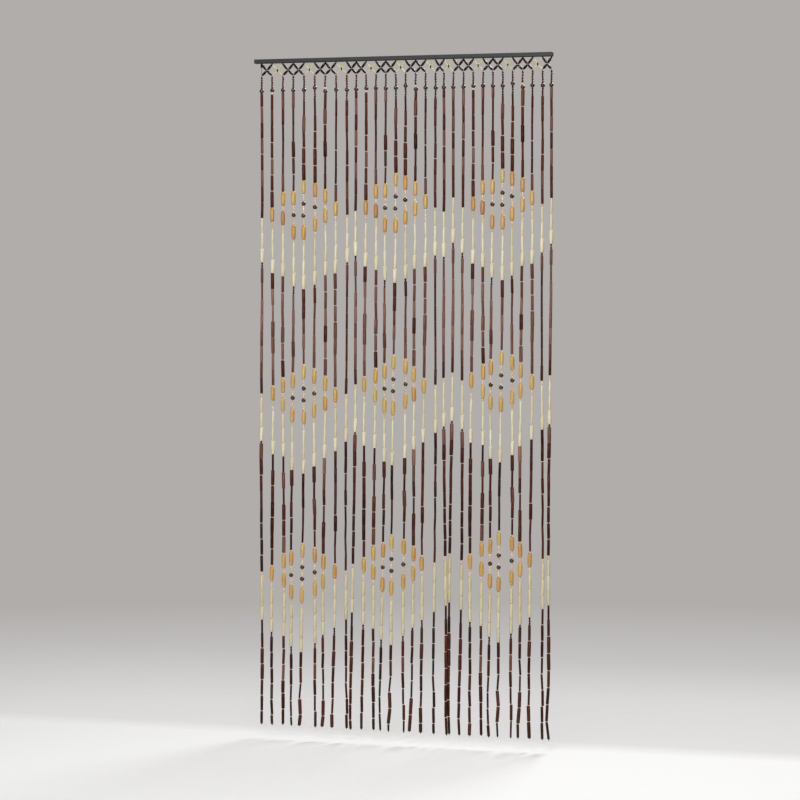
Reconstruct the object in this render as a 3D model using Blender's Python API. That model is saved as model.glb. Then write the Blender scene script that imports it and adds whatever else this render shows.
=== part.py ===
"""Bead curtain on a wooden rail, in metres, +Z up.

The origin is the middle of the rail's top face, the face that goes against a door head.
X runs along the rail, and Y is the way that a person walks through. The curtain is one
comb: a netted heading along its top edge, with 30 strands hanging from it as its teeth.
"""

import math
from collections import namedtuple

import bmesh
import bpy
import numpy as np

# Driving dimensions
RAIL_LENGTH = 0.900
RAIL_DEPTH = 0.018
RAIL_HEIGHT = 0.012
RAIL_EDGE = 0.0012  # the rounding of the rail's edges
DROP = 2.000  # from the rail's top face to the strands' tips
FIT_GAP = 0.0003  # between the rail and the stubs that hang from it

KNOT_DEPTH = 0.0180  # depths below the rail's top face: the upper knots,
CROSS_DEPTH = 0.0335  # the crossings between the strands,
FOOT_DEPTH = 0.0490  # the lower knots,
NECK_DEPTH = 0.0550  # and where the flat net turns into round strands
NET_WIDTH = 0.0050  # the net's beaded runs, across
NET_THICKNESS = 0.0050  # and front to back

# The strands hang in groups: how many, their spacing, and the gap before the group.
Group = namedtuple("Group", "name count pitch gap_before")
GROUPS = (
    Group("left", 9, 0.0329, 0.0000),
    Group("middle", 9, 0.0300, 0.0289),
    Group("infill", 2, 0.0286, 0.0245),
    Group("right", 9, 0.0292, 0.0300),
    Group("edge", 1, 0.0000, 0.0259),
)
FIRST_STRAND = -0.4290  # along the rail

# How far each strand's tip hangs to the side of its knot, in millimetres.
LEAN_MM = {
    "left": (-6, -7, -4, -12, -19, -2, -15, -15, -6),
    "middle": (-19, -16, -10, -17, -24, -9, -18, -16, -6),
    "infill": (9, -14),
    "right": (-11, -11, -3, -11, -13, -3, -11, -7, 3),
    "edge": (-5,),
}
LEAN_GROWTH = 1.6  # the lean is a power of how far down a strand is
INFILL_BACK = 0.0050  # the two infill strands cross, so they hang this far to either side
WAVE = 0.0025  # the slow wave along each strand
WAVE_TURNS = 1.3  # waves in a strand's length
WAVE_THROUGH = 0.6  # the wave's share front to back
GOLDEN = 0.618034  # keeps neighbouring strands out of step

# A strand from its neck down: how deep each section ends, and its radius there.
Section = namedtuple("Section", "name depth radius")
SECTIONS = (
    Section("neck", 0.0580, 0.0026),
    Section("seeds", 0.0860, 0.0026),
    Section("round bead, upper part", 0.0890, 0.0042),
    Section("round bead, middle", 0.0940, 0.0060),
    Section("round bead, lower part", 0.0990, 0.0042),
    Section("first tube's end", 0.1040, 0.0036),
    Section("tubes", 1.9400, 0.0036),
    Section("last tube's end", 1.9850, 0.0028),
    Section("end knot", DROP, 0.0016),
)
STRAND_SIDES = 6
LONGEST_RUN = 0.240  # between two rings of points along a strand


def remove_all_objects():
    for old in list(bpy.data.objects):
        bpy.data.objects.remove(old, do_unlink=True)


def material(name, colour, roughness):
    made = bpy.data.materials.new(name)
    made.use_nodes = True
    shader = made.node_tree.nodes["Principled BSDF"]
    shader.inputs["Base Color"].default_value = (*colour, 1.0)
    shader.inputs["Roughness"].default_value = roughness
    shader.inputs["Metallic"].default_value = 0.0
    return made


def add_object(name, bm, finish, sharp_from):
    """Turns a finished bmesh into a named object, faces out and round parts smooth."""
    bmesh.ops.recalc_face_normals(bm, faces=bm.faces)
    mesh = bpy.data.meshes.new(name)
    bm.to_mesh(mesh)
    bm.free()
    mesh.shade_smooth()
    mesh.set_sharp_from_angle(angle=math.radians(sharp_from))
    mesh.materials.append(finish)
    made = bpy.data.objects.new(name, mesh)
    bpy.context.scene.collection.objects.link(made)
    return made


def strand_places():
    """(place along the rail, lean at the tip, set-back) of each strand, left to right."""
    found = []
    place = FIRST_STRAND
    for group in GROUPS:
        place += group.gap_before
        for step, lean in enumerate(LEAN_MM[group.name]):
            back = 0.0
            if group.name == "infill":
                back = INFILL_BACK if step else -INFILL_BACK
            found.append((place + step * group.pitch, lean / 1000, back))
        place += (group.count - 1) * group.pitch
    return found


def hang(index, strand, depth):
    """The middle of a strand at each depth: below its knot it leans as a power of how
    far down it is, with a slow wave that grows from nothing."""
    place, lean, back = strand
    down = np.clip((depth - FOOT_DEPTH) / (DROP - FOOT_DEPTH), 0.0, 1.0)
    turn = 2 * math.pi * (WAVE_TURNS * down + GOLDEN * index)
    wave = WAVE * np.sqrt(down)
    across = place + lean * down**LEAN_GROWTH + wave * np.sin(turn)
    through = back * np.sqrt(down) + WAVE_THROUGH * wave * np.cos(turn)
    return np.stack([across, through, -depth], axis=-1)


def net_layout(places):
    """The heading's knots, as (x, z), and the runs between them: one zigzag from the
    upper knots to the crossings and one from there to the lower knots, a stub up to
    the rail and a neck down from each lower knot, and a side run down the left edge."""
    knots = {}
    runs = []
    for i, x in enumerate(places):
        knots["stub", i] = (x, -RAIL_HEIGHT - FIT_GAP)
        knots["upper", i] = (x, -KNOT_DEPTH)
        knots["lower", i] = (x, -FOOT_DEPTH)
        knots["neck", i] = (x, -NECK_DEPTH)
        runs += [(("stub", i), ("upper", i)), (("lower", i), ("neck", i))]
    for i, (x, following) in enumerate(zip(places, places[1:])):
        knots["cross", i] = ((x + following) / 2, -CROSS_DEPTH)
        for row in ("upper", "lower"):
            runs += [((row, i), ("cross", i)), ((row, i + 1), ("cross", i))]
    runs.append((("upper", 0), ("lower", 0)))
    return knots, runs


def net_corners(knots, runs, width):
    """Each knot's patch, and where each run meets it: two neighbouring runs share the
    corner where their edges meet, and a run beside a wide space has a corner of its own."""
    meets = {name: [] for name in knots}
    for a, b in runs:
        meets[a].append(b)
        meets[b].append(a)
    sides = {}
    patches = {}
    for name, others in meets.items():
        here = np.array(knots[name])

        def heading_to(other, here=here):
            way = np.array(knots[other]) - here
            return math.atan2(way[1], way[0])

        others.sort(key=heading_to)
        ring = []
        for arm, following in zip(others, others[1:] + others[:1]):
            start = heading_to(arm)
            spread = (heading_to(following) - start) % (2 * math.pi) or 2 * math.pi
            middle = start + spread / 2
            if spread < 0.9 * math.pi:
                reach = width / 2 / math.sin(spread / 2)
                found = [here + reach * np.array([math.cos(middle), math.sin(middle)])]
            else:
                turns = (start + math.pi / 2, start + spread - math.pi / 2)
                found = [here + width / 2 * np.array([math.cos(t), math.sin(t)]) for t in turns]
            first = len(ring)
            ring += found
            sides.setdefault((name, arm), {})["left"] = (name, first)
            sides.setdefault((name, following), {})["right"] = (name, len(ring) - 1)
        patches[name] = ring
    return patches, sides


def add_net(bm, knots, runs):
    """The flat net, with a patch at each knot and a strip for each run, drawn as faces
    at its back and extruded to its front."""
    patches, sides = net_corners(knots, runs, NET_WIDTH)
    back = NET_THICKNESS / 2
    points = {}
    for name, ring in patches.items():
        for step, (x, z) in enumerate(ring):
            points[name, step] = bm.verts.new((x, back, z))
        if len(ring) > 2:
            bm.faces.new([points[name, step] for step in range(len(ring))])
    for a, b in runs:
        here, there = sides[a, b], sides[b, a]
        outline = (here["right"], there["left"], there["right"], here["left"])
        bm.faces.new([points[corner] for corner in outline])
    front = bmesh.ops.extrude_face_region(bm, geom=bm.faces[:])
    moved = [part for part in front["geom"] if isinstance(part, bmesh.types.BMVert)]
    bmesh.ops.translate(bm, verts=moved, vec=(0, -NET_THICKNESS, 0))


def ring_depths():
    """The depth and radius of each ring of points down a strand: one where each section
    ends, and more inside a section that is longer than LONGEST_RUN."""
    rings = []
    depth, radius = NECK_DEPTH, SECTIONS[0].radius
    for section in SECTIONS:
        steps = math.ceil((section.depth - depth) / LONGEST_RUN)
        for share in np.linspace(0, 1, steps + 1)[1:]:
            rings.append(
                (
                    depth + share * (section.depth - depth),
                    radius + share * (section.radius - radius),
                )
            )
        depth, radius = section.depth, section.radius
    return np.array(rings).T


def add_strand(bm, index, strand, rings):
    """A round strand under its neck: rings of points round its middle, the first joined
    to the neck's four corners and the last closed."""
    depth, radius = rings
    turn = np.arange(STRAND_SIDES) * 2 * math.pi / STRAND_SIDES + math.pi / 6
    around = np.stack([np.cos(turn), np.sin(turn), np.zeros(STRAND_SIDES)], axis=-1)
    middles = hang(index, strand, depth)
    grid = middles[:, None] + radius[:, None, None] * around[None]
    rows = [[bm.verts.new(point) for point in row] for row in grid]
    for upper, lower in zip(rows, rows[1:]):
        for k in range(STRAND_SIDES):
            after = (k + 1) % STRAND_SIDES
            bm.faces.new((upper[k], upper[after], lower[after], lower[k]))
    bm.faces.new(rows[-1])
    join_to_neck(bm, strand[0], rows[0])


def join_to_neck(bm, place, ring):
    """Replaces the neck's end face with faces out to the first ring: each ring point
    belongs to the nearest neck corner, or to two where it lies between them."""
    half = NET_WIDTH / 2 + FIT_GAP
    corners = [
        vert
        for vert in bm.verts
        if abs(vert.co.z + NECK_DEPTH) < FIT_GAP and abs(vert.co.x - place) < half
    ]
    corners.sort(key=lambda vert: math.atan2(vert.co.y, vert.co.x - place) % (2 * math.pi))
    old = next(face for face in corners[0].link_faces if set(face.verts) == set(corners))
    bm.faces.remove(old)
    right_back, left_back, left_front, right_front = corners
    bm.faces.new((right_back, ring[1], ring[0]))
    bm.faces.new((right_back, left_back, ring[1]))
    bm.faces.new((left_back, ring[2], ring[1]))
    bm.faces.new((left_back, left_front, ring[3], ring[2]))
    bm.faces.new((left_front, ring[4], ring[3]))
    bm.faces.new((left_front, right_front, ring[4]))
    bm.faces.new((right_front, ring[5], ring[4]))
    bm.faces.new((right_front, right_back, ring[0], ring[5]))


def build_curtain(finish):
    """The comb: the netted heading, and a strand under each of its lower knots."""
    hung = strand_places()
    bm = bmesh.new()
    knots, runs = net_layout([place for place, _, _ in hung])
    add_net(bm, knots, runs)
    rings = ring_depths()
    for index, strand in enumerate(hung):
        add_strand(bm, index, strand, rings)
    return add_object("curtain", bm, finish, sharp_from=70)


def build_rail(finish):
    """A plain wooden batten with rounded edges, its top face at zero."""
    bm = bmesh.new()
    bmesh.ops.create_cube(bm, size=1.0)
    bmesh.ops.scale(bm, vec=(RAIL_LENGTH, RAIL_DEPTH, RAIL_HEIGHT), verts=bm.verts)
    bmesh.ops.translate(bm, vec=(0, 0, -RAIL_HEIGHT / 2), verts=bm.verts)
    bmesh.ops.bevel(bm, geom=bm.edges[:], offset=RAIL_EDGE, segments=2, affect="EDGES", profile=0.5)
    return add_object("rail", bm, finish, sharp_from=40)


def main():
    remove_all_objects()
    build_rail(material("dark_stained_wood", (0.022, 0.018, 0.016), 0.5))
    build_curtain(material("strung_wooden_beads", (0.105, 0.036, 0.024), 0.4))


main()
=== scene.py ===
# %% [markdown]
# # A wooden bead curtain
# A bead curtain hangs in a doorway and closes it to the eye and to flies, not to people.
# A slim rail carries a row of threads. They are first netted together into a heading,
# and each then hangs free as a strand of wooden beads, knotted at its tip. The colours
# are charted bead by bead, as in knitting, so that the hanging strands draw lozenges.
#
# The frame holds the rail and a plain comb that stands for everything that is strung.
# This lesson keeps the rail and gives it a finish, then strings about two thousand
# beads where the comb is. We start with the frame, because each size comes from it.

import math
from collections import namedtuple

import bpy
import numpy as np
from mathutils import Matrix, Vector


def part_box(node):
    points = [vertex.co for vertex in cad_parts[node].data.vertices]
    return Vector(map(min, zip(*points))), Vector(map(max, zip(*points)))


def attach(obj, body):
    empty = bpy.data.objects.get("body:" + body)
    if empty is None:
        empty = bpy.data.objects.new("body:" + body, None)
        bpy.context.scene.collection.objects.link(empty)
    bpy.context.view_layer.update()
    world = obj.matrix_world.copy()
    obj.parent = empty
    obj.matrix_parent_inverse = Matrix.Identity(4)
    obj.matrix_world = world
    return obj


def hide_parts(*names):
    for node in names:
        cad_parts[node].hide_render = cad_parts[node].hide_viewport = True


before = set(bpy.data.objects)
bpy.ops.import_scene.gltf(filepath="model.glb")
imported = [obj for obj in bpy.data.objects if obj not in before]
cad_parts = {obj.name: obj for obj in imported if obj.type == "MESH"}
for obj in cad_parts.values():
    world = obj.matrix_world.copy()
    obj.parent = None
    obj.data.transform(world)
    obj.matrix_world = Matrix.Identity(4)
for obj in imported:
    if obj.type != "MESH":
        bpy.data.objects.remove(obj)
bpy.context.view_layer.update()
rail_low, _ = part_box("rail")
comb_low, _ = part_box("curtain")
RAIL_UNDER = -rail_low.z
DROP = -comb_low.z
print(f"the strands' tips hang {DROP:.3f} m below the rail's top face")

# %% [markdown]
# ## The camera
# The curtain is tall and flat, so a long lens from a few metres away keeps its strands
# parallel. The camera stands a little to the right of the curtain's middle and below
# its top, and tips down by a few degrees, so that the whole drop fits its view.

# %% Place the camera
CAMERA_TURN = math.radians(14.0)
CAMERA_DISTANCE = 6.292
CAMERA_DROP = 0.652
CAMERA_TIP = math.radians(2.61)
CAMERA_ASIDE = -0.0042
CAMERA_SHIFT = -0.03
LENS_MM = 96.06
SENSOR_MM = 36.0


def placed(name, data):
    """A new object that holds this mesh, curve, camera or lamp, put into the scene."""
    made = bpy.data.objects.new(name, data)
    bpy.context.scene.collection.objects.link(made)
    return made


camera = placed("camera", bpy.data.cameras.new("camera"))
camera.data.lens = LENS_MM
camera.data.sensor_width = SENSOR_MM
camera.data.shift_y = CAMERA_SHIFT
camera.location = (
    CAMERA_ASIDE + CAMERA_DISTANCE * math.sin(CAMERA_TURN),
    -CAMERA_DISTANCE * math.cos(CAMERA_TURN),
    -CAMERA_DROP,
)
camera.rotation_euler = (math.pi / 2 - CAMERA_TIP, 0.0, CAMERA_TURN)
bpy.context.scene.camera = camera
print(f"the camera is {CAMERA_DISTANCE:.2f} m away with a {LENS_MM:.0f} mm lens")

# %% [markdown]
# ## Where the strands hang
# The strands are strung in groups with slightly different spacings. Each strand's tip
# hangs a little to one side of its knot, because the threads are never quite even.
# Short tables hold what a maker would note down, and a formula does the rest: the lean
# grows as a power of the depth, and a slow wave is added to it, out of step from one
# strand to the next. The comb in the frame follows the same rule, and its rods lean
# within a few millimetres of these strands.

# %% The groups and their lean
FOOT_DEPTH = 0.0490

Group = namedtuple("Group", "name count pitch gap_before lift_mm")
GROUPS = (
    Group("left", 9, 0.0329, 0.0000, (0, 0, 0)),
    Group("middle", 9, 0.0300, 0.0289, (19, 31, 33)),
    Group("infill one", 1, 0.0000, 0.0245, (15, 53, 65)),
    Group("infill two", 1, 0.0000, 0.0286, (56, 69, 73)),
    Group("right", 9, 0.0292, 0.0300, (27, 46, 54)),
    Group("edge", 1, 0.0000, 0.0259, (52, 64, 76)),
)
LEAN_MM = {
    "left": (-7, -6, -4, -14, -14, -6, -11, -12, -7),
    "middle": (-18, -17, -11, -18, -22, -8, -14, -15, -4),
    "infill one": (9,),
    "infill two": (-14,),
    "right": (-9, -12, -2, -13, -12, -1, -8, -4, 4),
    "edge": (-5,),
}
BACK = {"infill one": -0.0050, "infill two": 0.0050}
FIRST_STRAND = -0.4290
LEAN_GROWTH = 1.6
WAVE = 0.0025
WAVE_TURNS = 1.3
WAVE_THROUGH = 0.6
GOLDEN = 0.618034

Strand = namedtuple("Strand", "number place lean back column lift")


def strand_list():
    """Each strand's place along the rail, its lean and set-back at the tip, its column
    in the chart, and how much higher than charted its three bands ride."""
    found = []
    place = FIRST_STRAND
    for group in GROUPS:
        place += group.gap_before
        lift = np.array(group.lift_mm) / 1000
        for column, lean in enumerate(LEAN_MM[group.name]):
            here = place + column * group.pitch
            back = BACK.get(group.name, 0.0)
            found.append(Strand(len(found), here, lean / 1000, back, column, lift))
        place += (group.count - 1) * group.pitch
    return found


def hang(strand, depth):
    """The middle of a strand at each depth. Sideways it leans by a power of how far down
    it is. It is set back by the root of that, and a slow wave grows with the root too.
    The depth itself is straight down."""
    down = np.clip((depth - FOOT_DEPTH) / (DROP - FOOT_DEPTH), 0.0, 1.0)
    turn = 2 * math.pi * (WAVE_TURNS * down + GOLDEN * strand.number)
    wave = WAVE * np.sqrt(down)
    across = strand.place + strand.lean * down**LEAN_GROWTH + wave * np.sin(turn)
    through = strand.back * np.sqrt(down) + WAVE_THROUGH * wave * np.cos(turn)
    return np.stack([across, through, -depth], axis=-1)


strands = strand_list()
print(f"{len(strands)} strands, from {strands[0].place:.3f} to {strands[-1].place:.3f} m")

# %% [markdown]
# ## The chart
# A strand is a list of beads from its knot to its tip. Most of it is dark stained
# tubes. Three times on the way down, the dark run stops for a motif of amber barrels,
# small pale seeds and round dark beads, and then for three cream tubes, the last one
# broad. The motif grows and shrinks over nine strands, and so draws a lozenge.
#
# We chart one repeat of nine strands, as a bead worker does on squared paper.
# Wooden beads are cut and turned in bulk, so no two are quite alike: some tubes are
# thin, some are stout, and the stain takes differently on each. The same repeat is
# strung again and again, so its oddities come back every nine strands, and the chart
# notes them too. In a dark run each tube is a letter for its width (t thin, m middling,
# w wide) and a number for its shade (0 is the darkest), with a dash where it is cut
# short and a dot where a pale pip follows it; s is a small dark seed. The shade numbers
# hold the stain's own tone and painted light too: the second run is charted lighter as
# a painted highlight, and the two lowest runs darker as painted shade. A neck is the top
# of a strand: n is a small seed, R the round dark bead that every strand has, and C a
# cream one. The other table gives the depth of each column's round bead.

# %% Chart one repeat
NECKS = "nnnnnR nnnnnRC nnnnnR nnnnnR nnnnnR nnnnR nnnnCR nnnnnR nnnnnR".split()
ROUND_BEAD_MM = (94, 92, 92, 93, 93, 87, 98, 94, 95)

# The second run's light shades are partly a painted highlight, and the two lowest runs' dark
# shades partly painted shade.
DARK_RUNS = (
    (
        "m1 m2 m1 m2. m1 m2 m1 m1",
        "m1 m1 m1. m1. m2. m1. w1",
        "m2 m1 t0 t1 t2 m2",
        "m2 t1 t1 w1. m1. t1",
        "s s s t1 w2 m1. w1. w1",
        "s s s t0 m1. m1. w1. w1",
        "m1 w2. m1 w0 t1 m1",
        "s s s t0 t1 t1. t0 t0. m2",
        "s s s m1 m1 t1 m1. m1 m2 m1",
    ),
    (
        "s s m2 t2 m3 m3 m2 m3 m2 m1",
        "w1 m3 t3 w2 w2 m3 m2",
        "m2. m3 m2 w2. m2. w1",
        "s s s t2 m3 m2 w2 m2",
        "w1 w1 m2 m3 t2",
        "s m1 t2 t2 m2 m2",
        "m2. m2 m3 w1 m3. w2",
        "w2. m2. m2. w2 w2 m2 m2",
        "s m2 t1 t1 t1 t1 t1 t1 m1",
    ),
    (
        "s w2 w1. m1 m1 m0. m0. m0. m0",
        "t0 w1. w1 w0. w0 w0. m1",
        "t0 w2 t1 w1. w1. w2",
        "w1 t0 m1. m0. t0",
        "m0 m0 t1 t0",
        "w1 t0 w2 m1. t0",
        "w3 m2 m1. t1 w1 w1",
        "m1 m1 m1 m1. w0 t1 t1",
        "m0 m0. t1 m0. t0 t0 t1 t1",
    ),
    (
        "t0- m0. w1. w1. m1. m0. m0. m0",
        "s s m0. m0. m0. m1. m0. m1. w1",
        "m1-. m1. m2. w0-. w0. m0. m0. m0",
        "s s s m0. m0. t0. t0. t0. m0",
        "m0. m1. t0. w1. w1. t0",
        "s s m1. m2. m0. t0. m1. t0",
        "s m1. m0. t0. t1. w1. w1. m0",
        "s s s m1. w1. m0. m0. t1. w1. w0",
        "t0. m0. m0. t0. t0. m0. m0. m0",
    ),
)

# %% [markdown]
# Between the dark runs come the motif and the cream tubes. A is an amber barrel, B a
# browner one, Y a yellower one, R a round dark bead, p a pale seed and q a shorter one.
# The bead marked with a low line is another one in each band. The tables of depths say
# where each motif begins and where its cream tubes end, in millimetres below the rail's
# top. What the cream tubes leave over is made up with pale seeds.

# %% Chart the bands
Band = namedtuple("Band", "motif_mm cream_end_mm motifs cream_widths cream_shades")
LOZENGE = ("", "A", "App_", "ApppRpppA", "YpppRpppRpppA", "ApppRpppA", "AppA", "A", "")


def lozenge(odd_bead, first=""):
    """The lozenge's nine motifs, each after this band's first bead, if it has one, and
    with its odd bead filled in."""
    return [first + motif.replace("_", odd_bead) for motif in LOZENGE]


BANDS = (
    Band(
        (471, 440, 393, 391, 360, 368, 386, 424, 463),
        (603, 635, 645, 675, 683, 670, 642, 636, 603),
        lozenge("B"),
        (0.0064, 0.0076, 0.0116),
        (0.3, 1.0),
    ),
    Band(
        (996, 971, 946, 932, 906, 918, 940, 974, 994),
        (1138, 1178, 1184, 1224, 1234, 1212, 1186, 1165, 1136),
        lozenge("Y", "q"),
        (0.0070, 0.0070, 0.0110),
        (0.3, 1.0),
    ),
    Band(
        (1533, 1512, 1474, 1465, 1442, 1454, 1473, 1501, 1521),
        (1679, 1714, 1725, 1756, 1772, 1743, 1717, 1694, 1668),
        lozenge("A", "q"),
        (0.0094, 0.0094, 0.0100),
        (0.0, 0.35),
    ),
)

Kind = namedtuple("Kind", "finish shape length width shades")
KINDS = {
    "cream": Kind("cream", "tube", 0.0460, None, None),
    "broad": Kind("cream", "tube", 0.0410, None, None),
    "A": Kind("amber", "barrel", 0.0425, 0.0128, (0.3, 0.8)),
    "B": Kind("amber", "barrel", 0.0420, 0.0132, (0.0, 0.1)),
    "Y": Kind("amber", "barrel", 0.0400, 0.0118, (0.9, 1.0)),
    "R": Kind("lacquered", "ball", 0.0120, 0.0134, (0.0, 0.6)),
    "C": Kind("pale", "ball", 0.0060, 0.0076, (0.9, 1.0)),
    "p": Kind("pale", "seed", 0.0078, 0.0060, (0.0, 1.0)),
    "q": Kind("pale", "seed", 0.0040, 0.0062, (0.8, 1.0)),
    "s": Kind("polished", "seed", 0.0078, 0.0060, (0.2, 0.8)),
    "n": Kind("polished", "seed", 0.0078, 0.0062, (0.6, 1.0)),
    "pip": Kind("pale", "seed", 0.0024, 0.0050, (0.2, 0.6)),
    "knot": Kind("polished", "ball", 0.0034, 0.0034, (0.0, 0.2)),
}
motif_lengths = [sum(KINDS[letter].length for letter in motif) for motif in BANDS[0].motifs]
print("motifs in mm:", [round(1000 * length) for length in motif_lengths])

# %% [markdown]
# ## From the chart to beads
# Each mark in the chart becomes one bead, with a finish, a shape, a length, a width and
# a shade. Turned beads are off by a few percent in width, cut tubes by a little more,
# and the stain takes differently on each. The random draws are seeded, so that the same
# curtain is strung each time.

# %% Make one bead
SEED = 614
TURNED_SPREAD = 0.02
CUT_SPREAD = 0.03
STAIN_SPREAD = 0.1
TUBE_WIDTHS = {"t": 0.0064, "m": 0.0084, "w": 0.0106}
TUBE_SHADES = {"0": 0.0, "1": 0.35, "2": 0.7, "3": 1.0}

Bead = namedtuple("Bead", "finish shape length width shade")


def one(name, rng, length=None, width=None, shades=None):
    """A bead of a kind: its own length, width and shades unless told otherwise, with
    the width off by a few percent and the shade drawn evenly between the two."""
    kind = KINDS[name]
    wide = (width or kind.width) * (1 + TURNED_SPREAD * rng.standard_normal())
    shade = rng.uniform(*(shades or kind.shades))
    return Bead(kind.finish, kind.shape, length or kind.length, wide, shade)


def tube(mark, length, rng):
    """A dark tube from its mark in the chart: width letter, then shade number."""
    wide = TUBE_WIDTHS[mark[0]] * (1 + CUT_SPREAD * rng.standard_normal())
    shade = TUBE_SHADES[mark[1]] + rng.uniform(-STAIN_SPREAD, STAIN_SPREAD)
    return Bead("stained", "tube", length, wide, shade)


print(f"{len(KINDS)} kinds of bead, and tubes of {len(TUBE_WIDTHS)} widths")

# %% [markdown]
# ### Runs
# A run of beads has to fill the depth it is given. Where a dark run is too long by most
# of a tube it loses its first one, and what is still over or short is shared by all its
# tubes. The first run and the last one are cut to length instead, at the neck and at the
# tip. A cream run is filled up with pale seeds, and its first two tubes take the rest.

# %% Fill a run
TUBE_LENGTH = 0.0473
SHORT_TUBE = 0.0395
PIP_PULL = 0.0020
DROPPED_PAST = 0.6
SEED_FROM_SHARE = 0.3


def dark_run(marks, length, rng, cut_at=None):
    """The beads of a dark run. A tube with a pip after it is cut shorter by about the
    pip. While the run is too long by most of a tube, it loses its first one, or its last
    one at the tip. What is still over or short is shared by all its tubes, but at the
    neck and the tip a run too long has only that one tube cut."""
    marks = marks.split()
    seeds = [mark for mark in marks if mark == "s"]
    tubes = [mark for mark in marks if mark != "s"]
    lengths = [SHORT_TUBE if "-" in mark else TUBE_LENGTH for mark in tubes]
    lengths = [each - PIP_PULL * mark.endswith(".") for each, mark in zip(lengths, tubes)]
    small = len(seeds) * KINDS["s"].length
    small += sum(mark.endswith(".") for mark in tubes[:-1]) * KINDS["pip"].length
    last = -1 if cut_at == "tip" else 0
    while length - small - sum(lengths) < -DROPPED_PAST * lengths[last]:
        tubes.pop(last)
        lengths.pop(last)
    spare = length - small - sum(lengths)
    if cut_at and spare < 0:
        lengths[last] += spare
    else:
        lengths = [each + spare / len(tubes) for each in lengths]
    beads = [one("s", rng) for _ in seeds]
    for mark, each in zip(tubes[:-1], lengths):
        beads.append(tube(mark, each, rng))
        if mark.endswith("."):
            beads.append(one("pip", rng))
    return beads + [tube(tubes[-1], lengths[-1], rng)]


def cream_run(band, length, rng):
    """Pale seeds for what is left over, two cream tubes, and a broad one to end with. A
    seed goes in for each one's length, and for a last share of it that is big enough."""
    small = KINDS["p"].length
    last = KINDS["broad"].length
    spare = length - last - 2 * KINDS["cream"].length
    seeds = max(0, int(spare / small + 1 - SEED_FROM_SHARE))
    eased = (length - last - seeds * small) / 2
    widths = band.cream_widths
    beads = [one("p", rng) for _ in range(seeds)]
    beads += [one("cream", rng, eased, wide, band.cream_shades) for wide in widths[:2]]
    return beads + [one("broad", rng, last, widths[2], band.cream_shades)]


print(f"a whole tube is {TUBE_LENGTH * 1000:.1f} mm long, and a short one {SHORT_TUBE * 1000:.1f}")

# %% [markdown]
# ### Whole strands
# A strand starts just below its knot with its neck, whose seeds are eased so that the
# round bead lies at its charted depth. Then dark runs and bands take turns, down to a
# last dark run and the knot at the tip. In some groups the bands ride a little higher
# than in the first.

# %% String the beads
BELOW_KNOT = 0.002
STRING_TOP = FOOT_DEPTH + BELOW_KNOT


def neck(column, rng):
    """The beads between the knot and the first dark run: seeds, eased so that the round
    bead's middle lies at its charted depth."""
    marks = NECKS[column]
    above = marks[: marks.index("R")]
    seeds = above.count("n")
    room = ROUND_BEAD_MM[column] / 1000 - KINDS["R"].length / 2 - STRING_TOP
    room -= (len(above) - seeds) * KINDS["C"].length
    lengths = {"n": room / seeds}
    return [one(mark, rng, lengths.get(mark)) for mark in marks]


def string_strand(strand):
    """The whole strand from knot to tip, and the depth of each joint between beads:
    the running sum of the beads' lengths, added to the depth of the first one's top."""
    column = strand.column
    rng = np.random.default_rng((SEED, column))
    beads = neck(column, rng)
    reached = STRING_TOP + sum(bead.length for bead in beads)
    for section, band in enumerate(BANDS):
        lift = strand.lift[section]
        motif_top = band.motif_mm[column] / 1000 - lift
        cream_end = band.cream_end_mm[column] / 1000 - lift
        cut_at = "neck" if section == 0 else None
        beads += dark_run(DARK_RUNS[section][column], motif_top - reached, rng, cut_at)
        motif = [one(letter, rng) for letter in band.motifs[column]]
        motif_length = sum(bead.length for bead in motif)
        beads += motif + cream_run(band, cream_end - motif_top - motif_length, rng)
        reached = cream_end
    tip = DROP - KINDS["knot"].length
    beads += dark_run(DARK_RUNS[-1][column], tip - reached, rng, "tip")
    beads.append(one("knot", rng))
    lengths = np.array([bead.length for bead in beads])
    return beads, STRING_TOP + np.concatenate([[0.0], np.cumsum(lengths)])


strings = [string_strand(strand) for strand in strands]
print(f"{sum(len(beads) for beads, _ in strings)} beads on {len(strings)} strands")
print(f"the last joints lie at {strings[0][1][-1]:.4f} to {strings[-1][1][-1]:.4f} m")

# %% [markdown]
# ## The threads
# Each strand hangs on one limp thread, knotted below its last bead. A bead is rigid, so
# the thread is straight inside it and turns only at the joints. The weight below keeps
# the upper part straight. Near the tip there is little weight, so the beads there bend
# to either side by the few millimetres that the next table notes for each column, and
# in its last row for the strand at the right edge. The thread is a curve through the
# joints.

# %% Hang the threads
THREAD_WIDTH = 0.0012
STEADY_KINK = 0.0004
MOST_JOINTS = 120
KINK_DRAWS = 99
BEND_THROUGH = -0.5
BEND_DEPTHS_MM = (1780, 1815, 1862, 1912, 1957, 2005, 2054, 2076)
BENDS_MM = (
    (0, 0, -0.6, -1.2, -1.8, -1.8, 1.5, 1.5),
    (0, 0, 1.5, -0.8, 0.8, 1.2, 1.2, 1.2),
    (0, -0.4, -1.2, -0.8, -0.3, 0.4, 1.4, 1.4),
    (0, 0, 0.3, -1.8, -1.2, 0.9, 4.5, 4.5),
    (0, 0.2, 0.7, -3.2, 0.5, -4.5, -2.0, -2.0),
    (0, 0, -0.3, 0.2, 3.0, 3.2, 1.8, 1.8),
    (0, -1.2, 1.0, 1.0, 0.3, -4.0, -2.5, -2.5),
    (0, -0.8, -1.7, -0.8, -2.8, -2.5, 0, 0),
    (0, -0.5, -1.5, 2.5, 1.3, 0.5, 2.8, 2.8),
    (0, 0, 0, 0, -3.5, -7.0, -6.0, 1.5),
)


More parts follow.
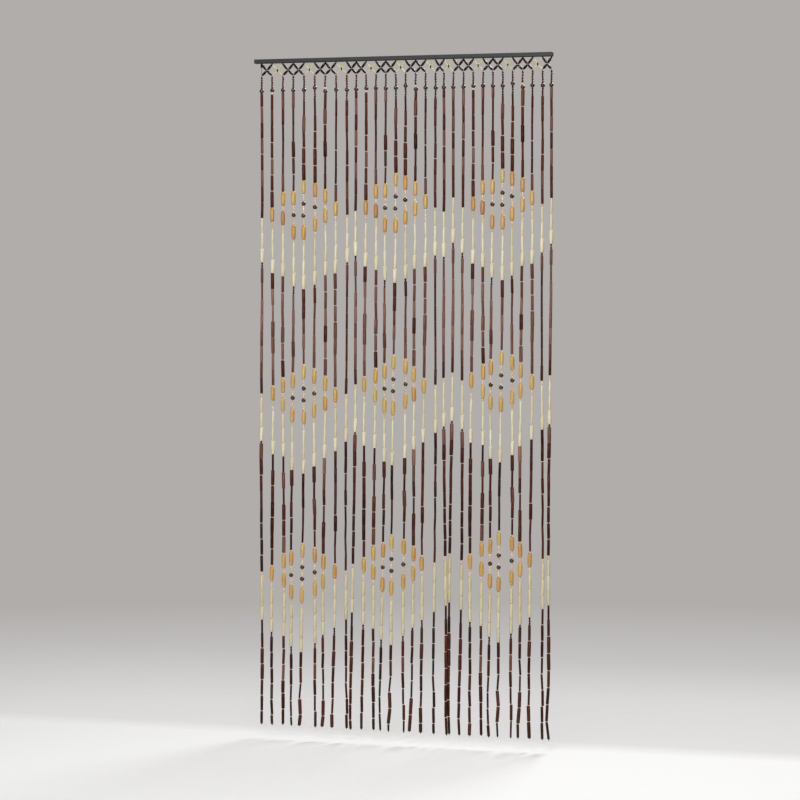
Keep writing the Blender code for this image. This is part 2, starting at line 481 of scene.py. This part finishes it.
def joints_of(strand, depths):
    """Where each joint is: on the strand's own line, shifted by a small random kink and
    by the charted bend, which is read between its depths in a straight line. A share of
    the same bend also goes through the curtain's plane."""
    rng = np.random.default_rng((SEED, strand.column, KINK_DRAWS))
    kinks = STEADY_KINK * rng.standard_normal((MOST_JOINTS, 2))[: len(depths)]
    charted_mm = 1000 * (depths + strand.lift[-1])
    row = -1 if strand is strands[-1] else strand.column
    bends = np.interp(charted_mm, BEND_DEPTHS_MM, BENDS_MM[row]) / 1000
    points = hang(strand, depths)
    points[1:, 0] += (kinks[:, 0] + bends)[1:]
    points[1:, 1] += (kinks[:, 1] + BEND_THROUGH * bends)[1:]
    return points


def thread(name, *routes):
    """A curve with one straight-sided spline through each route's points, given a round
    section of the thread's width."""
    curve = bpy.data.curves.new(name, "CURVE")
    curve.dimensions = "3D"
    for route in routes:
        spline = curve.splines.new("POLY")
        spline.points.add(len(route) - 1)
        weighted = np.pad(route, ((0, 0), (0, 1)), constant_values=1.0)
        spline.points.foreach_set("co", weighted.ravel())
    curve.bevel_depth = THREAD_WIDTH / 2
    curve.bevel_resolution = 1
    curve.use_fill_caps = True
    return placed(name, curve)


routes = [joints_of(strand, depths) for strand, (_, depths) in zip(strands, strings)]
knots = [hang(strand, np.array([FOOT_DEPTH])) for strand in strands]
threads = [
    thread(f"thread_{strand.number + 1:02d}", np.concatenate([knot, route]))
    for strand, knot, route in zip(strands, knots, routes)
]

# %% [markdown]
# ## Turned beads
# A wooden bead is turned on a lathe and then drilled. So its mesh is a closed profile
# carried round an axis: along the outside, over each shoulder and back through the bore.
# The profile is a small table for each shape of bead. It gives the share of the bead's
# length, and the share of its width there; a width of nothing stands for the bore.

# %% Profiles
Profile = namedtuple("Profile", "along spread")
PROFILES = {
    "tube": Profile((0.0, 0.0, 0.02, 0.50, 0.98, 1.0, 1.0), (0, 0.82, 0.98, 1.0, 0.98, 0.82, 0)),
    "barrel": Profile(
        (0.0, 0.0, 0.07, 0.26, 0.74, 0.93, 1.0, 1.0), (0, 0.58, 0.87, 1.0, 1.0, 0.87, 0.58, 0)
    ),
    "ball": Profile(
        (0.0, 0.0, 0.18, 0.50, 0.82, 1.0, 1.0), (0, 0.42, 0.82, 1.0, 0.82, 0.42, 0)
    ),
    "seed": Profile((0.0, 0.0, 0.22, 0.50, 0.78, 1.0, 1.0), (0, 0.55, 0.90, 1.0, 0.90, 0.55, 0)),
}
print(f"{len(PROFILES)} profiles: {', '.join(PROFILES)}")

# %% [markdown]
# ### The lathe
# A profile is carried round every bead of its shape at once, as whole arrays. Each bead
# gets a random turn about its axis, so that its facets and its grain don't line up with
# its neighbour's, and a random lot number, which the finish uses later. The map for the
# grain measures V in real length, so that long and short beads have the same grain.

# %% A lathe for many beads at once
SIDES = 10
BORE = 0.0009
GRAIN_LENGTH = 0.05

Turned = namedtuple("Turned", "points quads uvs shades lots")


def turned_points(starts, ends, widths, profile, rng):
    """A point is the bead's start, plus how far along the profile says times the bead's
    axis, plus the radius there times a direction that goes round the axis; in the bore
    the radius is the drill's."""
    axes = ends - starts
    unit = axes / np.linalg.norm(axes, axis=1)[:, None]
    side = np.cross(unit, (0.0, 1.0, 0.0))
    side /= np.linalg.norm(side, axis=1)[:, None]
    front = np.cross(unit, side)
    turn = np.arange(SIDES) / SIDES + rng.random((len(starts), 1))
    turn = 2 * math.pi * turn[:, :, None]
    ring = np.cos(turn) * side[:, None] + np.sin(turn) * front[:, None]
    along = np.array(profile.along)
    spread = np.array(profile.spread)
    radii = np.maximum(spread * widths[:, None] / 2, BORE)
    middles = starts[:, None] + along[:, None] * axes[:, None]
    return middles[:, :, None] + radii[:, :, None, None] * ring[:, None]


def turned_faces(lengths, along):
    """A quad joins each row of points to the next and each side to the next, and both
    close on themselves. U is the share of a turn, and V the distance along the bead in
    grain lengths."""
    count = len(lengths)
    rows = len(along)
    corners = np.array([(0, 0), (0, 1), (1, 1), (1, 0)])
    row_at = np.arange(rows)[:, None, None] + corners[:, 0]
    side_at = np.arange(SIDES)[None, :, None] + corners[:, 1]
    quads = (row_at % rows) * SIDES + side_at % SIDES
    quads = quads.reshape(-1, 4) + rows * SIDES * np.arange(count)[:, None, None]
    u = np.broadcast_to(side_at / SIDES, (count, rows, SIDES, 4))
    v = np.broadcast_to(np.array(along)[row_at % rows], (rows, SIDES, 4))
    v = v * (lengths / GRAIN_LENGTH)[:, None, None, None]
    return quads, np.stack([u, v], axis=-1)


def turn_beads(starts, ends, widths, shades, profile, rng):
    """Every bead of one shape: its points, faces and map, and its shade and lot number
    repeated for each of its points."""
    points = turned_points(starts, ends, widths, profile, rng)
    quads, uvs = turned_faces(np.linalg.norm(ends - starts, axis=1), profile.along)
    lots = rng.random(len(starts))
    each = len(profile.along) * SIDES
    return Turned(
        points.reshape(-1, 3),
        quads.reshape(-1, 4),
        uvs.reshape(-1, 2),
        np.repeat(shades, each),
        np.repeat(lots, each),
    )


print(f"a tube has {len(PROFILES['tube'].along) * SIDES} faces")

# %% [markdown]
# ### One mesh for many beads
# Thousands of separate objects would be slow to handle, so the beads of one strand are
# joined into one mesh. Each bead's shade and lot number are stored on its points, where
# the finish can read them.

# %% Join the beads


def joined_mesh(name, parts, finishes):
    """One mesh from many arrays: each part's corner numbers are moved on by the number
    of points before it, and its faces take the finish with the part's number."""
    before = np.cumsum([0] + [len(part.points) for part, _ in parts])
    points = np.concatenate([part.points for part, _ in parts])
    quads = np.concatenate([part.quads + n for (part, _), n in zip(parts, before)])
    finish = np.concatenate([np.full(len(part.quads), number) for part, number in parts])
    mesh = bpy.data.meshes.new(name)
    mesh.vertices.add(len(points))
    mesh.vertices.foreach_set("co", points.ravel())
    mesh.loops.add(quads.size)
    mesh.loops.foreach_set("vertex_index", quads.ravel())
    mesh.polygons.add(len(quads))
    mesh.polygons.foreach_set("loop_start", np.arange(0, quads.size, 4))
    mesh.polygons.foreach_set("material_index", finish)
    mesh.update(calc_edges=True)
    mesh.uv_layers.new(name="Grain").uv.foreach_set(
        "vector", np.concatenate([part.uvs for part, _ in parts]).ravel()
    )
    for title in ("shades", "lots"):
        values = np.concatenate([getattr(part, title) for part, _ in parts])
        mesh.attributes.new(title, "FLOAT", "POINT").data.foreach_set("value", values)
    for material in finishes:
        mesh.materials.append(material)
    mesh.shade_smooth()
    mesh.validate()
    return placed(name, mesh)


# %% [markdown]
# ## Writing a finish as a formula
# A finish is a small network of nodes. It reads more easily as an expression. A wire is
# one socket that gives a value. Adding or multiplying wires adds the Math nodes, and one
# method adds any other node, its settings first and then its sockets.

# %% Wires


class Wire:
    """A value in a material: the tree and the socket that gives it."""

    def __init__(self, tree, socket=None):
        self.tree = tree
        self.socket = socket

    def node(self, kind, settings, values, output=0):
        """Adds a node, applies its settings, then fills or links its sockets."""
        made = self.tree.nodes.new(kind)
        for name, value in settings.items():
            setattr(made, name, value)
        for name, value in values.items():
            if isinstance(value, Wire):
                self.tree.links.new(value.socket, made.inputs[name])
            else:
                made.inputs[name].default_value = value
        return Wire(self.tree, made.outputs[output])

    def beside(self, output):
        """Another output of the node that gives this value."""
        return Wire(self.tree, self.socket.node.outputs[output])

    def math(self, operation, first, second=0.0):
        """A Math node on two values."""
        return self.node("ShaderNodeMath", {"operation": operation}, {0: first, 1: second})

    def __add__(self, other):
        return self.math("ADD", self, other)

    def __radd__(self, other):
        return self.math("ADD", other, self)

    def __sub__(self, other):
        return self.math("SUBTRACT", self, other)

    def __rsub__(self, other):
        return self.math("SUBTRACT", other, self)

    def __mul__(self, other):
        return self.math("MULTIPLY", self, other)

    def __rmul__(self, other):
        return self.math("MULTIPLY", other, self)

    def clamp(self):
        """The value held between 0 and 1."""
        limits = {"operation": "ADD", "use_clamp": True}
        return self.node("ShaderNodeMath", limits, {0: self, 1: 0.0})

    def between(self, low, high):
        """0 where the value is low, 1 where it is high, and even in between."""
        return ((self - low) * (1 / (high - low))).clamp()

    def mix(self, first, second):
        """The first colour where this value is 0, the second where it is 1."""
        values = {0: self, 6: first, 7: second}
        return self.node("ShaderNodeMix", {"data_type": "RGBA"}, values, 2)

    def relief(self, strength, depth, height):
        """A Bump node's normal, for a height from 0, a depth below the surface, to 1."""
        values = {"Strength": strength, "Distance": depth, "Height": height}
        return self.node("ShaderNodeBump", {}, values)


def colour(red, green, blue):
    """A colour picked on a screen, as the linear light that a shader works in."""
    screen = np.array([red, green, blue]) / 255
    dark = screen / 12.92
    light = ((screen + 0.055) / 1.055) ** 2.4
    return (*np.where(screen <= 0.04045, dark, light), 1.0)


def new_finish(name):
    """An empty finish: the material, a wire into its tree, and its shader's sockets."""
    material = bpy.data.materials.new(name)
    material.use_nodes = True
    tree = material.node_tree
    return material, Wire(tree), tree.nodes["Principled BSDF"].inputs


def plug(wire, socket):
    """Links a wire to a socket of the shader."""
    wire.tree.links.new(wire.socket, socket)


# %% [markdown]
# ## The grain of turned wood
# Wood fibres run along a bead, so its grain is long streaks. We take the bead's own map,
# where U goes once round and V along, and bend it back into a cylinder with a sine and a
# cosine, so that the streaks meet where U starts again. Squeezing V draws them out. Each
# bead's lot number goes in as the fourth dimension of the noise, so that no two beads
# show the same streaks. The same noise gives blotches, when it is broader and coarser.

# %% Grain for a bead


def bead_coordinates(wire, stretch):
    """The bead's map bent into a cylinder: cosine and sine of U's full turn, and V times
    a stretch. Also the shade and lot that the mesh carries for each bead."""
    grain_map = wire.node("ShaderNodeUVMap", {"uv_map": "Grain"}, {})
    u = wire.node("ShaderNodeSeparateXYZ", {}, {0: grain_map})
    v = u.beside(1)
    turn = u * (2 * math.pi)
    values = {0: wire.math("COSINE", turn), 1: wire.math("SINE", turn), 2: v * stretch}
    place = wire.node("ShaderNodeCombineXYZ", {}, values)
    shade = wire.node("ShaderNodeAttribute", {"attribute_name": "shades"}, {}, 2)
    lot = wire.node("ShaderNodeAttribute", {"attribute_name": "lots"}, {}, 2)
    return place, shade, lot


Figure = namedtuple("Figure", "scale detail start")
FIBRES = Figure(3.4, 4.0, 0.0)
BLOTCHES = Figure(0.9, 2.0, 7.0)
LOTS_APART = 40.0


def noise(wire, place, lot, figure):
    """Smooth noise at a place, of a figure's scale and detail, and moved on from the
    figure's start by the bead's lot number."""
    values = {"Vector": place, "W": lot * LOTS_APART + figure.start}
    values |= {"Scale": figure.scale, "Detail": figure.detail}
    return wire.node("ShaderNodeTexNoise", {"noise_dimensions": "4D"}, values)


# %% [markdown]
# ### One recipe for all the beads
# Stain, amber varnish and clear lacquer all lie on the same kind of wood, so one recipe
# makes every finish. It takes three shades from dark to light, two colours for the
# streaks, and how polished the wood is. Brown wood shines warm, not white, so the shine
# is tinted.

# %% Finish a bead
BLOTCH_SHIFT = 0.7
STREAK_BAND = (0.42, 0.62)
STREAK_COVER = 0.55
STREAK_RELIEF = 0.5
ROUGH_SPREAD = 0.25
COAT_ROUGHNESS = 0.25
WARM_SHINE = colour(255, 214, 184)


def bead_finish(name, shades, streaks, stretch, rough, gloss, coat, depth):
    """A turned bead's finish. Its colour runs through three shades by the bead's own
    number, shifted by blotches; streaks along the grain darken it, in a colour between
    the two streak colours by the bead's lot; the fibres also vary the roughness, and the
    streaks lie a little below the surface."""
    material, wire, shader = new_finish(name)
    place, shade, lot = bead_coordinates(wire, stretch)
    fibres = noise(wire, place, lot, FIBRES)
    blotches = noise(wire, place, lot, BLOTCHES)
    tone = (shade + (blotches - 0.5) * BLOTCH_SHIFT).clamp()
    low = tone.between(0.0, 0.5).mix(shades[0], shades[1])
    base = tone.between(0.5, 1.0).mix(low, shades[2])
    lines = fibres.between(*STREAK_BAND)
    plug((lines * STREAK_COVER).mix(base, lot.mix(*streaks)), shader["Base Color"])
    plug(rough + (fibres - 0.5) * ROUGH_SPREAD, shader["Roughness"])
    shader["Coat Weight"].default_value = coat
    shader["Coat Roughness"].default_value = COAT_ROUGHNESS
    shader["Specular IOR Level"].default_value = gloss
    shader["Specular Tint"].default_value = WARM_SHINE
    plug(wire.relief(STREAK_RELIEF, depth, 1 - lines), shader["Normal"])
    return material


# %% [markdown]
# ### The finishes
# The long tubes are stained and nearly matt, and the cream and light ones are only
# sealed. Barrels and seeds have a thin varnish. The round dark beads are lacquered, so
# each one shows a soft light spot.

# %% Mix the finishes
FINISHES = {
    "stained": bead_finish(
        "stained_tube",
        # The lightest shade is partly the wood's own mid brown and partly a painted highlight,
        # greyed and lightened for the sheen down a tube's middle.
        shades=(colour(46, 16, 10), colour(84, 41, 31), colour(141, 104, 91)),
        streaks=(colour(42, 22, 4), colour(36, 6, 14)),
        stretch=0.35,
        rough=0.36,
        gloss=0.2,
        coat=0.0,
        depth=0.0002,
    ),
    "cream": bead_finish(
        "cream_tube",
        shades=(colour(190, 181, 147), colour(210, 203, 172), colour(222, 217, 191)),
        streaks=(colour(206, 186, 136), colour(190, 178, 142)),
        stretch=0.35,
        rough=0.45,
        gloss=0.3,
        coat=0.1,
        depth=0.0001,
    ),
    "amber": bead_finish(
        "amber_barrel",
        shades=(colour(168, 114, 72), colour(200, 156, 82), colour(204, 180, 104)),
        streaks=(colour(158, 98, 40), colour(154, 108, 54)),
        stretch=0.5,
        rough=0.36,
        gloss=0.4,
        coat=0.2,
        depth=0.0001,
    ),
    "polished": bead_finish(
        "polished_dark",
        shades=(colour(20, 7, 5), colour(48, 20, 13), colour(112, 56, 42)),
        streaks=(colour(18, 8, 3), colour(16, 4, 6)),
        stretch=0.8,
        rough=0.2,
        gloss=0.2,
        coat=0.05,
        depth=0.0001,
    ),
    "lacquered": bead_finish(
        "lacquered_round",
        shades=(colour(30, 13, 5), colour(54, 27, 13), colour(84, 44, 24)),
        streaks=(colour(20, 10, 3), colour(18, 7, 4)),
        stretch=0.8,
        rough=0.25,
        gloss=0.9,
        coat=0.2,
        depth=0.0001,
    ),
    "pale": bead_finish(
        "pale_seed",
        shades=(colour(200, 171, 142), colour(214, 193, 163), colour(228, 215, 192)),
        streaks=(colour(212, 172, 112), colour(200, 172, 122)),
        stretch=0.8,
        rough=0.4,
        gloss=0.3,
        coat=0.2,
        depth=0.0001,
    ),
    "light": bead_finish(
        "light_sliver",
        shades=(colour(200, 192, 116), colour(212, 204, 132), colour(222, 214, 150)),
        streaks=(colour(200, 178, 84), colour(192, 178, 92)),
        stretch=0.8,
        rough=0.45,
        gloss=0.3,
        coat=0.1,
        depth=0.0001,
    ),
}
print(f"{len(FINISHES)} bead finishes")

# %% [markdown]
# ## Beads on their threads
# Now each strand's beads are turned, shape by shape, and joined into one piece. The
# piece goes with its thread, rides on the frame's body, and stands for the comb.

# %% String each strand
JOINT_GAP = 0.00015
TURN_DRAWS = 7


def bead_ends(points):
    """Start and end of every bead: its two joints, each moved in by the gap."""
    steps = np.diff(points, axis=0)
    unit = steps / np.linalg.norm(steps, axis=1)[:, None]
    return points[:-1] + JOINT_GAP * unit, points[1:] - JOINT_GAP * unit


def strand_piece(strand, beads, points):
    """All of a strand's beads as one mesh: for each shape and finish that it uses, the
    beads of that kind are turned together."""
    rng = np.random.default_rng((SEED, strand.number, TURN_DRAWS))
    starts, ends = bead_ends(points)
    widths = np.array([bead.width for bead in beads])
    shades = np.array([bead.shade for bead in beads])
    parts = []
    for number, finish in enumerate(FINISHES):
        for shape, profile in PROFILES.items():
            chosen = np.array([b.finish == finish and b.shape == shape for b in beads])
            if chosen.any():
                made = turn_beads(
                    starts[chosen], ends[chosen], widths[chosen], shades[chosen], profile, rng
                )
                parts.append((made, number))
    return joined_mesh(f"beads_{strand.number + 1:02d}", parts, FINISHES.values())


strand_pieces = [
    strand_piece(strand, beads, route)
    for strand, (beads, _), route in zip(strands, strings, routes)
]
faces = sum(len(piece.data.polygons) for piece in strand_pieces)
print(f"{len(strand_pieces)} strands of beads with {faces} faces")

# %% [markdown]
# ## The heading
# Under the rail the threads are netted: each goes down from its upper knot to both
# neighbours' crossings, and on from there to the two lower knots, which makes a row of
# crosses. About every third cross is a light one.

# %% Lay out the net
KNOT_DEPTH = 0.0145
CROSS_DEPTH = 0.0335
LIGHT_CROSSES = (*range(1, 17, 3), *range(18, 28, 3))


def level(depth):
    """Each strand's point at one depth, all in a row."""
    return np.concatenate([hang(strand, np.array([depth])) for strand in strands])


upper = level(KNOT_DEPTH)
lower = level(FOOT_DEPTH)
under_rail = upper * (1, 1, 0) - (0, 0, RAIL_UNDER)
middle = (upper[:-1] + upper[1:] + lower[:-1] + lower[1:]) / 4
middle[:, 2] = -CROSS_DEPTH
is_light = np.isin(np.arange(len(middle)), LIGHT_CROSSES)
arm_starts = np.concatenate([upper[:-1], upper[1:], middle, middle])
arm_ends = np.concatenate([middle, middle, lower[:-1], lower[1:]])
arm_is_light = np.tile(is_light, 4)
print(f"{len(middle)} crosses, {is_light.sum()} of them light, on {len(arm_starts)} arms")

# %% [markdown]
# ### Beads of the heading
# A dark oval bead covers each arm. A light cross has light slim beads instead, and one
# small dark bead standing at its middle. A small seed hides each thread between the rail
# and its upper knot, and two seeds finish the left edge.

# %% Net the heading
ARM_COVER = (0.07, 0.89)
ARM_SHADES = (0.0, 0.2)
ARM_BEAD_WIDTH = 0.0075
LIGHT_BEAD_WIDTH = 0.0030
CENTRE_BEAD_LENGTH = 0.0090
CENTRE_BEAD_WIDTH = 0.0046
EDGE_SEEDS = 2
EDGE_SEED_LENGTH = 0.0050
TOP_SEED_WIDTH = 0.0046
TOP_SEED_REACH = 0.0020
HEADING_DRAWS = 31


def seeds_between(starts, ends, width, finish, rng, shades=0.0):
    """A seed from each start to its end, all of one width, and their finish's number."""
    count = len(starts)
    widths = np.full(count, width)
    shades = np.broadcast_to(shades, count)
    made = turn_beads(starts, ends, widths, shades, PROFILES["seed"], rng)
    return made, list(FINISHES).index(finish)


def heading_piece():
    """Beads on every arm, between two shares of its length; centre beads on the light
    crosses, half their length up and down; two seeds in equal steps down from the first
    upper knot; and a seed from under the rail to just past each upper knot."""
    rng = np.random.default_rng((SEED, HEADING_DRAWS))
    steps = arm_ends - arm_starts
    starts = arm_starts + ARM_COVER[0] * steps
    ends = arm_starts + ARM_COVER[1] * steps
    shades = rng.uniform(*ARM_SHADES, len(starts))
    light, dark = arm_is_light, ~arm_is_light
    centres = middle[is_light]
    half = np.array([0.0, 0.0, CENTRE_BEAD_LENGTH / 2])
    edge = hang(strands[0], KNOT_DEPTH + EDGE_SEED_LENGTH * np.arange(EDGE_SEEDS + 1))
    tops = under_rail - (0, 0, JOINT_GAP)
    past_knots = upper - (0, 0, TOP_SEED_REACH)
    parts = [
        seeds_between(starts[dark], ends[dark], ARM_BEAD_WIDTH, "polished", rng, shades[dark]),
        seeds_between(starts[light], ends[light], LIGHT_BEAD_WIDTH, "light", rng, shades[light]),
        seeds_between(centres + half, centres - half, CENTRE_BEAD_WIDTH, "polished", rng),
        seeds_between(edge[:-1], edge[1:], ARM_BEAD_WIDTH, "polished", rng),
        seeds_between(tops, past_knots, TOP_SEED_WIDTH, "polished", rng),
    ]
    return joined_mesh("heading_beads", parts, FINISHES.values())


def net_threads():
    """The net's own threads as one curve: each arm, a stub from the rail down to each
    upper knot, and the left edge from its upper knot to its lower one."""
    starts = np.concatenate([arm_starts, under_rail, upper[:1]])
    ends = np.concatenate([arm_ends, upper, lower[:1]])
    return thread("heading_threads", *np.stack([starts, ends], axis=1))


heading = heading_piece()
net = net_threads()
print(f"{len(heading.data.polygons)} faces in the heading's beads")

# %% [markdown]
# ## Thread
# The threads are twisted from two plies and dyed dark. The twist shows as fine bands, so
# a wave runs along the drop, and its own distortion frays it a little.

# %% Thread finish
TWIST_SCALE = 300.0
TWIST_FRAY = 2.0


def thread_finish():
    """Dark brown thread: bands across the drop, one to a millimetre, lighten it."""
    material, wire, shader = new_finish("twisted_thread")
    here = wire.node("ShaderNodeTexCoord", {}, {}, "Object")
    values = {"Vector": here, "Scale": TWIST_SCALE, "Distortion": TWIST_FRAY}
    bands = wire.node("ShaderNodeTexWave", {"bands_direction": "Z"}, values, "Fac")
    plug(bands.mix(colour(40, 22, 16), colour(92, 62, 46)), shader["Base Color"])
    shader["Roughness"].default_value = 0.7
    return material


twisted = thread_finish()
for piece in (*threads, net):
    piece.data.materials.append(twisted)
print(f"{len(threads) + 1} curves of thread dyed")

# %% [markdown]
# ## The rail
# The rail keeps the frame's shape. It is a planed batten, stained almost black. Long
# grain runs from end to end, so the noise is drawn out along X. Lighter fibres show
# through the stain, and are a little smoother where they are worn.

# %% Stain the rail
RailGrain = namedtuple("RailGrain", "squeeze scale detail shows")
RAIL_FIBRES = RailGrain((3.0, 120.0, 120.0), 4.0, 6.0, (0.45, 0.75))
RAIL_PORES = RailGrain((40.0, 900.0, 900.0), 2.0, 2.0, (0.58, 0.66))
PORE_COVER = 0.6
PORE_HEIGHT = 0.3
RAIL_ROUGH = 0.55
RAIL_WORN = 0.12
RAIL_RELIEF = 0.4
RAIL_DEPTH = 0.0003


def rail_noise(wire, grain):
    """Noise at the rail's own place, squeezed across the grain."""
    here = wire.node("ShaderNodeTexCoord", {}, {}, "Object")
    at = wire.node("ShaderNodeMapping", {}, {"Vector": here, "Scale": grain.squeeze})
    values = {"Vector": at, "Scale": grain.scale, "Detail": grain.detail}
    return wire.node("ShaderNodeTexNoise", {}, values)


def rail_finish():
    """Charcoal stain over long grain: noise stretched along X for the fibres, and a
    finer one for the pores that the stain has filled."""
    material, wire, shader = new_finish("stained_rail")
    fibres = rail_noise(wire, RAIL_FIBRES)
    pores = rail_noise(wire, RAIL_PORES)
    worn = fibres.between(*RAIL_FIBRES.shows)
    base = worn.mix(colour(25, 24, 25), colour(50, 47, 47))
    filled = pores.between(*RAIL_PORES.shows)
    plug((filled * PORE_COVER).mix(base, colour(16, 15, 15)), shader["Base Color"])
    plug(RAIL_ROUGH - worn * RAIL_WORN, shader["Roughness"])
    height = fibres + pores * PORE_HEIGHT
    plug(wire.relief(RAIL_RELIEF, RAIL_DEPTH, height), shader["Normal"])
    return material


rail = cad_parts["rail"]
rail.data.materials.clear()
rail.data.materials.append(rail_finish())
print(f"{rail.data.materials[0].name} is on the rail")

# %% [markdown]
# ## What goes with what
# Every piece rides on the one body that the frame has. The beads, the threads and the
# heading together stand for the comb, which stays in the frame for its weight and its
# contacts.

# %% Tie the pieces to the frame
for piece in (*strand_pieces, *threads, heading, net):
    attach(piece, "root")
    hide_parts("curtain")
print("all pieces ride on the root")

# %% [markdown]
# ## The floor
# The curtain hangs clear of a pale floor. A floor that ended at an edge would show a
# horizon, so this one thins out to nothing some way off.

# %% Lay the floor
FLOOR_GAP = 0.035
FLOOR_SIDE = 2.6
FLOOR_FRONT = 2.4
FLOOR_BACK = 1.5
FULL_SIDE = 0.5
FULL_FRONT = 0.35
FLOOR_EDGE = (0.04, 0.16)
FLOOR_STEP = 0.55
FLOOR_GRID = 13


def floor_finish():
    """Pale matt floor, whole up to a share of its way to the sides and the front, and
    thinning away from there to its edges. Past the curtain about half of it goes within
    a hand's width, and the rest evenly up to the back edge."""
    material, wire, shader = new_finish("pale_floor")
    here = wire.node("ShaderNodeTexCoord", {}, {}, "Object")
    x = wire.node("ShaderNodeSeparateXYZ", {}, {"Vector": here})
    y = x.beside(1)
    grit = wire.node("ShaderNodeTexNoise", {}, {"Vector": here, "Scale": 60.0})
    plug(grit.mix(colour(238, 238, 237), colour(243, 243, 242)), shader["Base Color"])
    shader["Roughness"].default_value = 0.8
    sides = 1 - wire.math("ABSOLUTE", x).between(FULL_SIDE * FLOOR_SIDE, FLOOR_SIDE)
    front = y.between(-FLOOR_FRONT, -FULL_FRONT * FLOOR_FRONT)
    soon = FLOOR_STEP * y.between(*FLOOR_EDGE)
    later = (1 - FLOOR_STEP) * y.between(0, FLOOR_BACK)
    plug(sides * front * (1 - (soon + later)), shader["Alpha"])
    return material


def floor_piece():
    """A flat sheet just under the lowest knot: a grid of evenly spaced points, joined by
    quads that face up."""
    across = np.linspace(-FLOOR_SIDE, FLOOR_SIDE, FLOOR_GRID)
    along = np.linspace(-FLOOR_FRONT, FLOOR_BACK, FLOOR_GRID)
    x, y = np.meshgrid(across, along)
    points = np.stack([x, y, np.full_like(x, -DROP - FLOOR_GAP)], axis=-1).reshape(-1, 3)
    first = np.arange(FLOOR_GRID**2).reshape(FLOOR_GRID, FLOOR_GRID)
    quads = np.stack([first[:-1, :-1], first[:-1, 1:], first[1:, 1:], first[1:, :-1]], -1)
    mesh = bpy.data.meshes.new("floor")
    mesh.from_pydata(points.tolist(), [], quads.reshape(-1, 4).tolist())
    mesh.materials.append(floor_finish())
    return placed("floor", mesh)


floor_piece()
print(f"the floor lies {FLOOR_GAP * 1000:.0f} mm under the tips")

# %% [markdown]
# ## Air and light
# Around the curtain is grey air, lighter towards the floor. The camera sees the air at
# full strength, but only a share of it falls on the curtain. Soft lights do the rest:
# one in front, a weak one that fills from the left, a strong one high behind, and one
# above.

# %% Light the curtain
AIR = colour(176, 173, 171)
AIR_BELOW = colour(211, 209, 209)
AIR_TURNS = (-0.150, -0.195)
AMBIENT = 0.22

SoftLight = namedtuple("SoftLight", "name place aim size watts")
LIGHTS = (
    SoftLight("front", (1.5, -5.4, 0.1), (0.0, 0.0, -1.0), 1.4, 180.0),
    SoftLight("fill", (-3.2, -2.8, -0.2), (0.0, 0.0, -1.0), 2.0, 30.0),
    SoftLight("behind", (1.5, 3.6, 2.6), (0.0, 0.0, -0.8), 2.0, 260.0),
    SoftLight("above", (0.0, -2.2, 1.6), (0.0, -0.6, -2.0), 1.6, 50.0),
)


def soft_light(light):
    """A square area light at its place, turned so that it faces its aim."""
    lamp = bpy.data.lights.new(light.name, "AREA")
    lamp.size = light.size
    lamp.energy = light.watts
    holder = placed(light.name, lamp)
    holder.location = light.place
    towards = Vector(light.aim) - Vector(light.place)
    holder.rotation_euler = towards.to_track_quat("-Z", "Y").to_euler()


def grey_air():
    """The world around: grey, turning to a lighter grey where a look slopes down past
    the two turns; at full strength where the camera sees it, and at the ambient share
    where it lights the curtain."""
    world = bpy.data.worlds.new("air")
    world.use_nodes = True
    wire = Wire(world.node_tree)
    background = world.node_tree.nodes["Background"].inputs
    towards = wire.node("ShaderNodeTexCoord", {}, {})
    rise = wire.node("ShaderNodeSeparateXYZ", {}, {"Vector": towards}, 2)
    plug(rise.between(*AIR_TURNS).mix(AIR, AIR_BELOW), background["Color"])
    seen = wire.node("ShaderNodeLightPath", {}, {})
    plug(AMBIENT + seen * (1 - AMBIENT), background["Strength"])
    return world


for light in LIGHTS:
    soft_light(light)
bpy.context.scene.world = grey_air()
bpy.context.scene.view_settings.view_transform = "Standard"
print(f"{len(LIGHTS)} soft lights, {sum(light.watts for light in LIGHTS):.0f} W in all")

# %% [markdown]
# ## The last step
# The beads may stand a little proud of the comb, but the curtain keeps its size. We
# update the view layer, and close the scene.

# %% Update and finish
bpy.context.view_layer.update()
